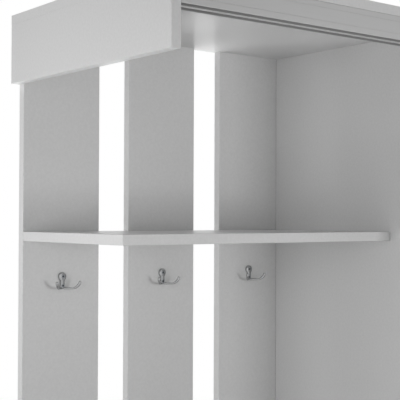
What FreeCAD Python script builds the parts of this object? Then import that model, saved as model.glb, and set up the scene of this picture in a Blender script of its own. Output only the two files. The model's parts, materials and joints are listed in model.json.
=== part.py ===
import FreeCAD, Part
import math
import os

# Mudroom locker unit: two bays of laminated board behind two sliding doors.
# The left bay is an open coat niche with a slatted back, a hat shelf, double hooks and a shoe bench.
# The right bay is a wardrobe with a grooved-in back panel, shelves and a clothes rail.
# X runs to the right, Y from the front to the back, Z up. The origin is on the floor under the middle.

# Whole unit, in millimetres
UNIT_W = 1200.0
UNIT_D = 460.0
UNIT_H = 2000.0
BOARD = 16.0
CUT_OVERRUN = 2.0

# Left bay
VALANCE_H = 100.0
SLAT_W = 150.0
SLAT_NAMES = ("slat_left", "slat_middle", "slat_right")
SLAT_SCREW_SHARES = (0.25, 0.75)
HAT_SHELF_D = 305.0
HAT_SHELF_DROP = 350.0
BENCH_H = 450.0
SHOE_SHELF_H = 250.0
SHOE_SHELF_SETBACK = 20.0

# Right bay
WARDROBE_SHELF_DROP = 300.0
LOW_SHELF_H = 420.0
INNER_SHELF_SETBACK = 20.0
BACK_PANEL_T = 3.0
BACK_PANEL_INSET = 10.0
GROOVE_DEPTH = 7.0
GROOVE_PLAY = 0.2
RAIL_R = 12.5
RAIL_WALL = 1.2
RAIL_DROP = 60.0
SOCKET_FLANGE_R = 24.0
SOCKET_FLANGE_T = 3.0
SOCKET_CUP_WALL = 2.0
SOCKET_CUP_L = 12.0
SOCKET_PLAY = 0.1

# Plinth and glides
PLINTH_H = 64.0
PLINTH_SETBACK = 50.0
PLINTH_BACK_INSET = 60.0
GLIDE_R = 7.5
GLIDE_H = 4.0
GLIDE_INSET = 70.0

# Sliding doors and their tracks
DOOR_T = 16.0
DOOR_GAP = 7.0
DOOR_OVERLAP = 28.0
DOOR_END_GAP = 2.0
DOOR_TOP_GAP = 5.0
DOOR_REAR_CLEARANCE = 6.0
TRACK_H = 38.0
TRACK_WALL = 1.5
CHANNEL_W = 15.0
LIP_LINE_INSET = 9.0
LIP_LINE_W = 0.8
LIP_LINE_DEPTH = 0.4
RUNNER_BASE = 2.0
RUNNER_LIP = 7.0
GUIDE_L = 60.0
GUIDE_FIN_L = 40.0
GUIDE_BASE_H = 3.0
GUIDE_PLAY = 1.0
GUIDE_REACH = 18.0
GUIDE_INSET = 40.0
STOP_GAP = 0.5
STOP_DROP = 10.0

# Door rollers, bottom running
ROLLER_R = 15.0
ROLLER_W = 5.0
ROLLER_GAP = 0.3
ROLLER_DROP = 10.0
ROLLER_INSET = 60.0
ROLLER_PLAY = 0.4
ROLLER_ROUND = 0.8
ROLLER_HUB_R = 5.0
ROLLER_RIM = 3.0
ROLLER_RECESS = 0.8
HOUSING_WALL = 2.2
HOUSING_L = 50.0
HOUSING_H = 32.0
HOUSING_PLAY = 0.1
AXLE_R = 2.0
AXLE_PLAY = 0.05

# Finger pulls let into the doors
PULL_R = 20.0
PULL_FLANGE = 4.0
PULL_FLANGE_T = 1.0
PULL_WALL = 1.0
PULL_DEPTH = 10.0
PULL_INSET = 50.0
PULL_H = 1000.0
PULL_PLAY = 0.1

# Double coat hooks
HOOK_DROP = 70.0
HOOK_HEAD_R = 7.4
HOOK_SPINE_W = 10.2
HOOK_PLATE_T = 5.5
HOOK_SCREW_SPACING = 16.0
HOOK_FOOT_H = 6.5
HOOK_ROUND = 1.4
PRONG_R = 1.9
PRONG_TIP_R = 2.5
PRONG_RUN = 13.0
PRONG_BEND_R = 16.0
PRONG_BEND_DEG = 74.0
PRONG_SPLAY_DEG = 46.0
PRONG_ROOT_X = 3.0
FLAT_TOLERANCE = 0.01

# Board joints: confirmat screws with flush caps, dowels and shelf pins
CONFIRMAT_R = 3.5
CONFIRMAT_HEAD_R = 5.0
CONFIRMAT_HEAD_H = 2.5
CONFIRMAT_NECK_H = 2.0
CONFIRMAT_L = 48.0
FASTENER_PLAY = 0.1
CAP_R = 6.0
CAP_T = 1.0
JOINT_INSET = 60.0
DOWEL_R = 4.0
DOWEL_L = 24.0
DOWEL_INSET = 120.0
PIN_R = 2.5
PIN_L = 18.0
PIN_SEAT = 9.0
PIN_INSET = 40.0

# Countersunk screws: shank radius, head radius and length
SMALL_SCREW_R = 1.5
SMALL_SCREW_HEAD_R = 2.8
SMALL_SCREW_L = 12.0
HOOK_SCREW_R = 1.75
HOOK_SCREW_HEAD_R = 3.1
HOOK_SCREW_L = 15.0
TRACK_SCREW_INSET = 120.0
TRACK_SCREW_COUNT = 4

# Wall brackets on the top board
BRACKET_W = 24.0
BRACKET_LEG = 40.0
BRACKET_T = 2.5
BRACKET_HOLE_SHARE = 0.6
BRACKET_HOLE_R = 3.25
BRACKET_SPACING = 800.0

MM3_PER_CM3 = 1000.0

# Places worked out from the sizes above
LEFT = -UNIT_W / 2
RIGHT = UNIT_W / 2
FRONT = -UNIT_D / 2
BACK = UNIT_D / 2
CEILING = UNIT_H - BOARD
DECK = PLINTH_H + BOARD
BAY_L0 = LEFT + BOARD
BAY_L1 = -BOARD / 2
BAY_R0 = BOARD / 2
BAY_R1 = RIGHT - BOARD
SLAT_FACE = BACK - BOARD
SLAT_COUNT = len(SLAT_NAMES)
SLAT_GAP = (BAY_L1 - BAY_L0 - SLAT_COUNT * SLAT_W) / (SLAT_COUNT - 1)
DOOR_PITCH = DOOR_T + DOOR_GAP
FRONT_DOOR_Y = FRONT + TRACK_WALL + CHANNEL_W / 2
REAR_DOOR_Y = FRONT_DOOR_Y + DOOR_PITCH
TRACK_D = DOOR_PITCH + CHANNEL_W + 2 * TRACK_WALL
INNER_FRONT = REAR_DOOR_Y + DOOR_T / 2 + DOOR_REAR_CLEARANCE
BACK_PANEL_Y = BACK - BACK_PANEL_INSET - BACK_PANEL_T
SHELF_BACK = BACK_PANEL_Y - GROOVE_PLAY
HAT_SHELF_Z = CEILING - HAT_SHELF_DROP - BOARD
HAT_SHELF_FRONT = SLAT_FACE - HAT_SHELF_D
HOOK_Z = HAT_SHELF_Z - HOOK_DROP
SEAT_Z = BENCH_H - BOARD
WARDROBE_SHELF_Z = CEILING - WARDROBE_SHELF_DROP - BOARD
DOOR_W = (BAY_R1 - BAY_L0 - 2 * DOOR_END_GAP + DOOR_OVERLAP) / 2
DOOR_X1 = BAY_R1 - DOOR_END_GAP
DOOR_X0 = DOOR_X1 - DOOR_W
DOOR_Z0 = DECK + RUNNER_BASE + ROLLER_GAP + ROLLER_DROP
DOOR_Z1 = CEILING - TRACK_H - DOOR_TOP_GAP
AXLE_Z = DOOR_Z0 - ROLLER_DROP + ROLLER_R

X_AXIS = FreeCAD.Vector(1, 0, 0)
Y_AXIS = FreeCAD.Vector(0, 1, 0)
Z_AXIS = FreeCAD.Vector(0, 0, 1)

parts = {}
confirmats = []
caps = []
dowels = []
pins = []


def point(x, y, z):
    return FreeCAD.Vector(x, y, z)


def block(x0, x1, y0, y1, z0, z1):
    return Part.makeBox(x1 - x0, y1 - y0, z1 - z0, point(x0, y0, z0))


def rod(start, direction, radius, length):
    return Part.makeCylinder(radius, length, start, direction)


def join(first, *others):
    return first.fuse(list(others)).removeSplitter()


def bore(node, tool):
    parts[node] = parts[node].cut(tool)


def spread(low, high, count):
    step = (high - low) / (count - 1)
    return [low + step * i for i in range(count)]


# Fasteners

def confirmat_body(face, inward, play):
    seat = face + inward * CAP_T
    head = rod(seat, inward, CONFIRMAT_HEAD_R + play, CONFIRMAT_HEAD_H)
    neck_start = seat + inward * CONFIRMAT_HEAD_H
    neck = Part.makeCone(CONFIRMAT_HEAD_R + play, CONFIRMAT_R + play, CONFIRMAT_NECK_H, neck_start, inward)
    shank = rod(seat, inward, CONFIRMAT_R + play, CONFIRMAT_L + play)
    return join(head, neck, shank)


def fasten(through, into, faces, inward):
    """Drive a confirmat screw at each face point through one board into another, and cap it flush."""
    for face in faces:
        confirmats.append(confirmat_body(face, inward, 0))
        caps.append(rod(face, inward, CAP_R, CAP_T))
        cap_seat = rod(face - inward * CUT_OVERRUN, inward, CAP_R + FASTENER_PLAY, CAP_T + CUT_OVERRUN)
        bore(through, cap_seat)
        hole = confirmat_body(face, inward, FASTENER_PLAY)
        bore(through, hole)
        bore(into, hole)


def dowel(first, second, middle, direction):
    """Set a dowel half in each of two boards, about a point on their joint."""
    start = middle - direction * (DOWEL_L / 2)
    dowels.append(rod(start, direction, DOWEL_R, DOWEL_L))
    hole_start = start - direction * FASTENER_PLAY
    hole = rod(hole_start, direction, DOWEL_R + FASTENER_PLAY, DOWEL_L + 2 * FASTENER_PLAY)
    bore(first, hole)
    bore(second, hole)


def countersunk(face, inward, shank_r, head_r, length):
    head = Part.makeCone(head_r, shank_r, head_r - shank_r, face, inward)
    return join(head, rod(face, inward, shank_r, length))


def countersunk_hole(face, inward, shank_r, head_r, length):
    play = FASTENER_PLAY
    head = Part.makeCone(head_r + play, shank_r + play, head_r - shank_r, face, inward)
    return join(head, rod(face, inward, shank_r + play, length + play))


# Boards

def make_outer_boards():
    parts["top_board"] = block(LEFT, RIGHT, FRONT, BACK, CEILING, UNIT_H)
    parts["left_valance"] = block(LEFT, BAY_L0, FRONT, BACK, CEILING - VALANCE_H, CEILING)
    parts["right_side_panel"] = block(BAY_R1, RIGHT, FRONT, BACK, GLIDE_H, CEILING)
    parts["base_board"] = block(LEFT, BAY_R1, FRONT, BACK, PLINTH_H, DECK)
    parts["partition"] = block(BAY_L1, BAY_R0, INNER_FRONT, BACK, DECK, CEILING)


def make_plinth():
    front = FRONT + PLINTH_SETBACK
    back = BACK - PLINTH_BACK_INSET
    parts["plinth_front"] = block(BAY_L0, BAY_R1, front, front + BOARD, GLIDE_H, PLINTH_H)
    parts["plinth_back"] = block(BAY_L0, BAY_R1, back - BOARD, back, GLIDE_H, PLINTH_H)
    parts["plinth_left"] = block(LEFT, BAY_L0, front, back, GLIDE_H, PLINTH_H)
    parts["plinth_middle"] = block(BAY_L1, BAY_R0, front + BOARD, back - BOARD, GLIDE_H, PLINTH_H)


def slat_starts():
    return [BAY_L0 + i * (SLAT_W + SLAT_GAP) for i in range(SLAT_COUNT)]


def make_left_bay():
    for name, x in zip(SLAT_NAMES, slat_starts()):
        parts[name] = block(x, x + SLAT_W, SLAT_FACE, BACK, DECK, CEILING)
    parts["hat_shelf"] = block(BAY_L0, BAY_L1, HAT_SHELF_FRONT, SLAT_FACE, HAT_SHELF_Z, HAT_SHELF_Z + BOARD)
    parts["bench_seat"] = block(LEFT, BAY_L1, INNER_FRONT, SLAT_FACE, SEAT_Z, BENCH_H)
    parts["bench_end_panel"] = block(LEFT, BAY_L0, INNER_FRONT, BACK, DECK, SEAT_Z)
    shoe_front = INNER_FRONT + SHOE_SHELF_SETBACK
    parts["shoe_shelf"] = block(BAY_L0, BAY_L1, shoe_front, SLAT_FACE, SHOE_SHELF_H, SHOE_SHELF_H + BOARD)


def make_right_bay():
    front = INNER_FRONT + INNER_SHELF_SETBACK
    top = WARDROBE_SHELF_Z + BOARD
    parts["wardrobe_shelf"] = block(BAY_R0, BAY_R1, front, SHELF_BACK, WARDROBE_SHELF_Z, top)
    parts["wardrobe_low_shelf"] = block(BAY_R0, BAY_R1, front, SHELF_BACK, LOW_SHELF_H, LOW_SHELF_H + BOARD)
    grip = GROOVE_DEPTH - GROOVE_PLAY
    parts["wardrobe_back_panel"] = block(
        BAY_R0 - grip, BAY_R1 + grip, BACK_PANEL_Y, BACK_PANEL_Y + BACK_PANEL_T, DECK - grip, CEILING + grip)
    groove = block(
        BAY_R0 - GROOVE_DEPTH, BAY_R1 + GROOVE_DEPTH,
        BACK_PANEL_Y - GROOVE_PLAY, BACK_PANEL_Y + BACK_PANEL_T + GROOVE_PLAY,
        DECK - GROOVE_DEPTH, CEILING + GROOVE_DEPTH)
    for node in ("partition", "right_side_panel", "top_board", "base_board"):
        bore(node, groove)


# Clothes rail

def make_clothes_rail():
    y = (INNER_FRONT + SHELF_BACK) / 2
    z = WARDROBE_SHELF_Z - RAIL_DROP
    x0 = BAY_R0 + SOCKET_FLANGE_T
    x1 = BAY_R1 - SOCKET_FLANGE_T
    tube = rod(point(x0, y, z), X_AXIS, RAIL_R, x1 - x0)
    parts["clothes_rail"] = tube.cut(rod(point(x0, y, z), X_AXIS, RAIL_R - RAIL_WALL, x1 - x0))
    sockets = []
    screws = []
    screw_ring = (SOCKET_FLANGE_R + RAIL_R + SOCKET_CUP_WALL) / 2
    for wall, inward, board in ((BAY_R0, X_AXIS, "partition"), (BAY_R1, -X_AXIS, "right_side_panel")):
        centre = point(wall, y, z)
        face = centre + inward * SOCKET_FLANGE_T
        flange = rod(centre, inward, SOCKET_FLANGE_R, SOCKET_FLANGE_T)
        cup = rod(face, inward, RAIL_R + SOCKET_PLAY + SOCKET_CUP_WALL, SOCKET_CUP_L)
        socket = join(flange, cup).cut(rod(face, inward, RAIL_R + SOCKET_PLAY, SOCKET_CUP_L))
        for side in (-1, 1):
            spot = face + Z_AXIS * (side * screw_ring)
            screws.append(countersunk(spot, -inward, SMALL_SCREW_R, SMALL_SCREW_HEAD_R, SMALL_SCREW_L))
            hole = countersunk_hole(spot, -inward, SMALL_SCREW_R, SMALL_SCREW_HEAD_R, SMALL_SCREW_L)
            socket = socket.cut(hole)
            bore(board, hole)
        sockets.append(socket)
    parts["rail_sockets"] = Part.makeCompound(sockets)
    parts["rail_screws"] = Part.makeCompound(screws)


# Joints between the boards

def fasten_boards():
    down = -Z_AXIS
    ends = (FRONT + JOINT_INSET, BACK - JOINT_INSET)
    inner_ends = (INNER_FRONT + JOINT_INSET, BACK - JOINT_INSET)
    left_x = LEFT + BOARD / 2
    right_x = RIGHT - BOARD / 2
    slat_y = BACK - BOARD / 2
    fasten("top_board", "left_valance", [point(left_x, y, UNIT_H) for y in (*ends, 0)], down)
    fasten("top_board", "right_side_panel", [point(right_x, y, UNIT_H) for y in ends], down)
    fasten("top_board", "partition", [point(0, y, UNIT_H) for y in inner_ends], down)
    fasten("base_board", "partition", [point(0, y, PLINTH_H) for y in inner_ends], Z_AXIS)
    fasten("base_board", "bench_end_panel", [point(left_x, y, PLINTH_H) for y in inner_ends], Z_AXIS)
    base_z = PLINTH_H + BOARD / 2
    fasten("right_side_panel", "base_board", [point(RIGHT, y, base_z) for y in ends], -X_AXIS)
    for name, x in zip(SLAT_NAMES, slat_starts()):
        pair = [x + SLAT_W * share for share in SLAT_SCREW_SHARES]
        fasten("top_board", name, [point(px, slat_y, UNIT_H) for px in pair], down)
        fasten("base_board", name, [point(px, slat_y, PLINTH_H) for px in pair], Z_AXIS)
        middle = x + SLAT_W / 2
        fasten(name, "hat_shelf", [point(middle, BACK, HAT_SHELF_Z + BOARD / 2)], -Y_AXIS)
        fasten(name, "bench_seat", [point(middle, BACK, SEAT_Z + BOARD / 2)], -Y_AXIS)
    shelf_y = (HAT_SHELF_FRONT + JOINT_INSET, SLAT_FACE - JOINT_INSET)
    fasten("partition", "hat_shelf", [point(BAY_R0, y, HAT_SHELF_Z + BOARD / 2) for y in shelf_y], -X_AXIS)
    seat_y = (INNER_FRONT + JOINT_INSET, SLAT_FACE - JOINT_INSET)
    fasten("partition", "bench_seat", [point(BAY_R0, y, SEAT_Z + BOARD / 2) for y in seat_y], -X_AXIS)
    fasten("bench_seat", "bench_end_panel", [point(left_x, y, BENCH_H) for y in seat_y], down)
    plinth_x = (BAY_L0 + JOINT_INSET, BAY_R1 - JOINT_INSET)
    plinth_front_y = FRONT + PLINTH_SETBACK + BOARD / 2
    plinth_back_y = BACK - PLINTH_BACK_INSET - BOARD / 2
    fasten("base_board", "plinth_front", [point(x, plinth_front_y, DECK) for x in plinth_x], down)
    fasten("base_board", "plinth_back", [point(x, plinth_back_y, DECK) for x in plinth_x], down)
    shelf_mid_y = (HAT_SHELF_FRONT + SLAT_FACE) / 2
    dowel("partition", "hat_shelf", point(BAY_L1, shelf_mid_y, HAT_SHELF_Z + BOARD / 2), X_AXIS)
    seat_mid_y = (INNER_FRONT + SLAT_FACE) / 2
    dowel("partition", "bench_seat", point(BAY_L1, seat_mid_y, SEAT_Z + BOARD / 2), X_AXIS)
    dowel("bench_end_panel", "bench_seat", point(left_x, seat_mid_y, SEAT_Z), Z_AXIS)
    dowel("partition", "top_board", point(0, seat_mid_y, CEILING), Z_AXIS)
    for y in (FRONT + DOWEL_INSET, BACK - DOWEL_INSET):
        dowel("left_valance", "top_board", point(left_x, y, CEILING), Z_AXIS)
        dowel("right_side_panel", "top_board", point(right_x, y, CEILING), Z_AXIS)


def pin_shelf(shelf, underside, supports):
    """Carry a loose shelf on two pins in each of its side boards."""
    box = parts[shelf].BoundBox
    for board, wall, inward in supports:
        for y in (box.YMin + PIN_INSET, box.YMax - PIN_INSET):
            start = point(wall, y, underside - PIN_R) - inward * PIN_SEAT
            pins.append(rod(start, inward, PIN_R, PIN_L))
            bore(board, rod(start - inward * FASTENER_PLAY, inward, PIN_R + FASTENER_PLAY, PIN_SEAT + FASTENER_PLAY))


def make_shelf_pins():
    left = (("bench_end_panel", BAY_L0, X_AXIS), ("partition", BAY_L1, -X_AXIS))
    right = (("partition", BAY_R0, X_AXIS), ("right_side_panel", BAY_R1, -X_AXIS))
    pin_shelf("shoe_shelf", SHOE_SHELF_H, left)
    pin_shelf("wardrobe_shelf", WARDROBE_SHELF_Z, right)
    pin_shelf("wardrobe_low_shelf", LOW_SHELF_H, right)


def make_floor_glides():
    front_y = FRONT + PLINTH_SETBACK + BOARD / 2
    back_y = BACK - PLINTH_BACK_INSET - BOARD / 2
    spots = [(x, y) for y in (front_y, back_y) for x in (BAY_L0 + GLIDE_INSET, BAY_R1 - GLIDE_INSET)]
    spots += [(RIGHT - BOARD / 2, y) for y in (FRONT + GLIDE_INSET, BACK - GLIDE_INSET)]
    spots += [(LEFT + BOARD / 2, y) for y in (front_y + GLIDE_INSET, back_y - GLIDE_INSET)]
    spots.append((0, (front_y + back_y) / 2))
    parts["floor_glides"] = Part.makeCompound([rod(point(x, y, 0), Z_AXIS, GLIDE_R, GLIDE_H) for x, y in spots])


def make_wall_brackets():
    brackets = []
    screws = []
    for x in (-BRACKET_SPACING / 2, BRACKET_SPACING / 2):
        x0 = x - BRACKET_W / 2
        x1 = x + BRACKET_W / 2
        foot = block(x0, x1, BACK - BRACKET_LEG, BACK, UNIT_H, UNIT_H + BRACKET_T)
        upright = block(x0, x1, BACK - BRACKET_T, BACK, UNIT_H, UNIT_H + BRACKET_LEG)
        hole_offset = BRACKET_LEG * BRACKET_HOLE_SHARE
        hole_start = point(x, BACK - BRACKET_LEG, UNIT_H + hole_offset)
        hole = rod(hole_start, Y_AXIS, BRACKET_HOLE_R, BRACKET_LEG + CUT_OVERRUN)
        bracket = join(foot, upright).cut(hole)
        face = point(x, BACK - hole_offset, UNIT_H + BRACKET_T)
        screws.append(countersunk(face, -Z_AXIS, SMALL_SCREW_R, SMALL_SCREW_HEAD_R, SMALL_SCREW_L))
        screw_hole = countersunk_hole(face, -Z_AXIS, SMALL_SCREW_R, SMALL_SCREW_HEAD_R, SMALL_SCREW_L)
        brackets.append(bracket.cut(screw_hole))
        bore("top_board", screw_hole)
    parts["wall_brackets"] = Part.makeCompound(brackets)
    parts["bracket_screws"] = Part.makeCompound(screws)


# Coat hooks

def prong(root, side):
    """One prong: a straight run out of the foot, then a bend upwards in a splayed upright plane."""
    splay = math.radians(PRONG_SPLAY_DEG)
    out = point(side * math.cos(splay), -math.sin(splay), 0)

    def bend(degrees):
        angle = math.radians(degrees)
        return run_end + out * (PRONG_BEND_R * math.sin(angle)) + Z_AXIS * (PRONG_BEND_R * (1 - math.cos(angle)))

    run_end = root + out * PRONG_RUN
    tip = bend(PRONG_BEND_DEG)
    run = Part.LineSegment(root, run_end).toShape()
    arc = Part.Arc(run_end, bend(PRONG_BEND_DEG / 2), tip).toShape()
    section = Part.Wire(Part.Circle(root, out, PRONG_R).toShape())
    tube = Part.Wire([run, arc]).makePipeShell([section], True, True)
    return [tube, Part.makeSphere(PRONG_TIP_R, tip)]


def make_hook(name, slat, x):
    back = SLAT_FACE
    face = back - HOOK_PLATE_T
    head_z = HOOK_Z + HOOK_SCREW_SPACING / 2
    foot_z = HOOK_Z - HOOK_SCREW_SPACING / 2
    head = rod(point(x, back, head_z), -Y_AXIS, HOOK_HEAD_R, HOOK_PLATE_T)
    half = HOOK_SPINE_W / 2
    spine = block(x - half, x + half, face, back, foot_z - HOOK_FOOT_H, head_z)
    plate = join(head, spine)
    rim = [e for e in plate.Edges if e.BoundBox.YMax - face < FLAT_TOLERANCE]
    plate = plate.makeFillet(HOOK_ROUND, rim)
    root_z = foot_z - HOOK_FOOT_H + PRONG_R
    solids = [plate]
    for side in (-1, 1):
        solids += prong(point(x + side * PRONG_ROOT_X, face + PRONG_R, root_z), side)
    hook = join(*solids)
    screws = []
    for z in (head_z, foot_z):
        spot = point(x, face, z)
        screws.append(countersunk(spot, Y_AXIS, HOOK_SCREW_R, HOOK_SCREW_HEAD_R, HOOK_SCREW_L))
        hole = countersunk_hole(spot, Y_AXIS, HOOK_SCREW_R, HOOK_SCREW_HEAD_R, HOOK_SCREW_L)
        hook = hook.cut(hole)
        bore(slat, hole)
    parts[name] = hook
    return screws


def make_hooks():
    screws = []
    for slat, x in zip(SLAT_NAMES, slat_starts()):
        screws += make_hook(slat.replace("slat", "coat_hook"), slat, x + SLAT_W / 2)
    parts["hook_screws"] = Part.makeCompound(screws)


# Tracks

def channel_centres():
    return (FRONT_DOOR_Y, REAR_DOOR_Y)


def make_top_track():
    """Double track: one lip in front, one behind and a hollow web between two open channels."""
    bottom = CEILING - TRACK_H
    track = block(BAY_L0, BAY_R1, FRONT, FRONT + TRACK_D, bottom, CEILING)
    roof = CEILING - TRACK_WALL
    for y in channel_centres():
        half = CHANNEL_W / 2
        track = track.cut(block(BAY_L0, BAY_R1, y - half, y + half, bottom, roof))
    web0 = FRONT_DOOR_Y + CHANNEL_W / 2 + TRACK_WALL
    web1 = REAR_DOOR_Y - CHANNEL_W / 2 - TRACK_WALL
    track = track.cut(block(BAY_L0, BAY_R1, web0, web1, bottom + TRACK_WALL, roof))
    for z in (bottom + LIP_LINE_INSET, CEILING - LIP_LINE_INSET):
        line = block(BAY_L0, BAY_R1, FRONT, FRONT + LIP_LINE_DEPTH, z - LIP_LINE_W / 2, z + LIP_LINE_W / 2)
        track = track.cut(line)
    parts["top_track"] = track


def make_bottom_track():
    top = DECK + RUNNER_BASE + RUNNER_LIP
    track = block(BAY_L0, BAY_R1, FRONT, FRONT + TRACK_D, DECK, top)
    for y in channel_centres():
        half = CHANNEL_W / 2
        track = track.cut(block(BAY_L0, BAY_R1, y - half, y + half, DECK + RUNNER_BASE, top))
    parts["bottom_track"] = track


def fix_tracks():
    screws = []
    web_y = (FRONT_DOOR_Y + REAR_DOOR_Y) / 2
    top_of_runner = DECK + RUNNER_BASE + RUNNER_LIP
    sites = [("top_track", "top_board", y, CEILING - TRACK_WALL, Z_AXIS) for y in channel_centres()]
    sites.append(("bottom_track", "base_board", web_y, top_of_runner, -Z_AXIS))
    for track, board, y, z, inward in sites:
        length = SMALL_SCREW_L if inward.z > 0 else SMALL_SCREW_L + RUNNER_LIP
        for x in spread(BAY_L0 + TRACK_SCREW_INSET, BAY_R1 - TRACK_SCREW_INSET, TRACK_SCREW_COUNT):
            face = point(x, y, z)
            screws.append(countersunk(face, inward, SMALL_SCREW_R, SMALL_SCREW_HEAD_R, length))
            hole = countersunk_hole(face, inward, SMALL_SCREW_R, SMALL_SCREW_HEAD_R, length)
            bore(track, hole)
            bore(board, hole)
    parts["track_screws"] = Part.makeCompound(screws)


def make_track_stops():
    """Rubber plugs in the channel ends, which the door guides meet at the ends of the travel."""
    length = DOOR_END_GAP + GUIDE_INSET + (GUIDE_L - GUIDE_FIN_L) / 2 - STOP_GAP
    bottom = CEILING - TRACK_H + STOP_DROP
    stops = []
    for y in channel_centres():
        for x in (BAY_L0, BAY_R1 - length):
            half = CHANNEL_W / 2
            stops.append(block(x, x + length, y - half, y + half, bottom, CEILING - TRACK_WALL))
    parts["track_stops"] = Part.makeCompound(stops)


# Sliding doors

def make_guides(door, y):
    """Fins on the top edge of a door that ride in its top channel."""
    guides = []
    screws = []
    half = CHANNEL_W / 2 - GUIDE_PLAY
    fin_top = CEILING - TRACK_H + GUIDE_REACH
    margin = (GUIDE_L - GUIDE_FIN_L) / 2
    for x in (DOOR_X0 + GUIDE_INSET, DOOR_X1 - GUIDE_INSET - GUIDE_L):
        base = block(x, x + GUIDE_L, y - half, y + half, DOOR_Z1, DOOR_Z1 + GUIDE_BASE_H)
        fin = block(x + margin, x + margin + GUIDE_FIN_L, y - half, y + half, DOOR_Z1, fin_top)
        guide = join(base, fin)
        for screw_x in (x + margin / 2, x + GUIDE_L - margin / 2):
            face = point(screw_x, y, DOOR_Z1 + GUIDE_BASE_H)
            screws.append(countersunk(face, -Z_AXIS, SMALL_SCREW_R, SMALL_SCREW_HEAD_R, SMALL_SCREW_L))
            hole = countersunk_hole(face, -Z_AXIS, SMALL_SCREW_R, SMALL_SCREW_HEAD_R, SMALL_SCREW_L)
            guide = guide.cut(hole)
            bore(door + "_panel", hole)
        guides.append(guide)
    parts[door + "_guides"] = Part.makeCompound(guides)
    parts[door + "_guide_screws"] = Part.makeCompound(screws)


def make_roller(centre):
    wheel = rod(centre - Y_AXIS * (ROLLER_W / 2), Y_AXIS, ROLLER_R, ROLLER_W)
    wheel = wheel.makeFillet(ROLLER_ROUND, [e for e in wheel.Edges if e.Closed])
    for side in (-1, 1):
        face = centre + Y_AXIS * (side * ROLLER_W / 2)
        dish = rod(face, -Y_AXIS * side, ROLLER_R - ROLLER_RIM, ROLLER_RECESS)
        wheel = wheel.cut(dish.cut(rod(face, -Y_AXIS * side, ROLLER_HUB_R, ROLLER_RECESS)))
    hole_start = centre - Y_AXIS * ROLLER_W
    return wheel.cut(rod(hole_start, Y_AXIS, AXLE_R + AXLE_PLAY, 2 * ROLLER_W))


def make_rollers(door, y):
    """Mortised housings in the bottom edge, each with an axle and a roller that stands out below."""
    housings = []
    axles = []
    half_slot = ROLLER_W / 2 + ROLLER_PLAY
    half = half_slot + HOUSING_WALL
    for side, x in (("left", DOOR_X0 + ROLLER_INSET), ("right", DOOR_X1 - ROLLER_INSET)):
        x0 = x - HOUSING_L / 2
        x1 = x + HOUSING_L / 2
        z1 = DOOR_Z0 + HOUSING_H
        play = HOUSING_PLAY
        bore(door + "_panel", block(
            x0 - play, x1 + play, y - half - play, y + half + play, DOOR_Z0 - CUT_OVERRUN, z1 + play))
        wheel_room = ROLLER_R + ROLLER_PLAY
        housing = block(x0, x1, y - half, y + half, DOOR_Z0, z1)
        slot = block(x - wheel_room, x + wheel_room, y - half_slot, y + half_slot,
                     DOOR_Z0 - CUT_OVERRUN, AXLE_Z + wheel_room)
        axle_start = point(x, y - half, AXLE_Z)
        axle_hole = rod(axle_start, Y_AXIS, AXLE_R + AXLE_PLAY, 2 * half)
        housings.append(housing.cut(slot).cut(axle_hole))
        axles.append(rod(axle_start, Y_AXIS, AXLE_R, 2 * half))
        parts[f"{door}_roller_{side}"] = make_roller(point(x, y, AXLE_Z))
    parts[door + "_roller_housings"] = Part.makeCompound(housings)
    parts[door + "_axles"] = Part.makeCompound(axles)


def make_pull(door, y, x):
    """Round cup let into the front face of a door, with a thin flange."""
    face = point(x, y - DOOR_T / 2, PULL_H)
    flange = rod(face - Y_AXIS * PULL_FLANGE_T, Y_AXIS, PULL_R + PULL_FLANGE, PULL_FLANGE_T)
    cup = rod(face, Y_AXIS, PULL_R, PULL_DEPTH)
    hollow_start = face - Y_AXIS * (PULL_FLANGE_T + CUT_OVERRUN)
    hollow_depth = PULL_FLANGE_T + CUT_OVERRUN + PULL_DEPTH - PULL_WALL
    hollow = rod(hollow_start, Y_AXIS, PULL_R - PULL_WALL, hollow_depth)
    parts[door + "_pull"] = join(flange, cup).cut(hollow)
    pocket_start = face - Y_AXIS * CUT_OVERRUN
    bore(door + "_panel", rod(pocket_start, Y_AXIS, PULL_R + PULL_PLAY, PULL_DEPTH + PULL_PLAY + CUT_OVERRUN))


def make_door(door, y, pull_x):
    half = DOOR_T / 2
    parts[door + "_panel"] = block(DOOR_X0, DOOR_X1, y - half, y + half, DOOR_Z0, DOOR_Z1)
    make_guides(door, y)
    make_rollers(door, y)
    make_pull(door, y, pull_x)


def save_parts():
    os.makedirs("parts", exist_ok=True)
    for name, shape in parts.items():
        shape.exportStep(f"parts/{name}.step")
        print(f"{name}: {len(shape.Solids)} solids, valid {shape.isValid()}, {shape.Volume / MM3_PER_CM3:.1f} cm3")


make_outer_boards()
make_plinth()
make_left_bay()
make_right_bay()
make_clothes_rail()
make_hooks()
make_top_track()
make_bottom_track()
fix_tracks()
make_track_stops()
make_door("front_door", FRONT_DOOR_Y, DOOR_X0 + PULL_INSET)
make_door("rear_door", REAR_DOOR_Y, DOOR_X1 - PULL_INSET)
make_floor_glides()
make_wall_brackets()
fasten_boards()
make_shelf_pins()
parts["carcass_screws"] = Part.makeCompound(confirmats)
parts["cover_caps"] = Part.makeCompound(caps)
parts["wood_dowels"] = Part.makeCompound(dowels)
parts["shelf_pins"] = Part.makeCompound(pins)
save_parts()
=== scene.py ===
import json
import math

import bmesh
import bpy
from mathutils import Matrix, Vector


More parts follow.
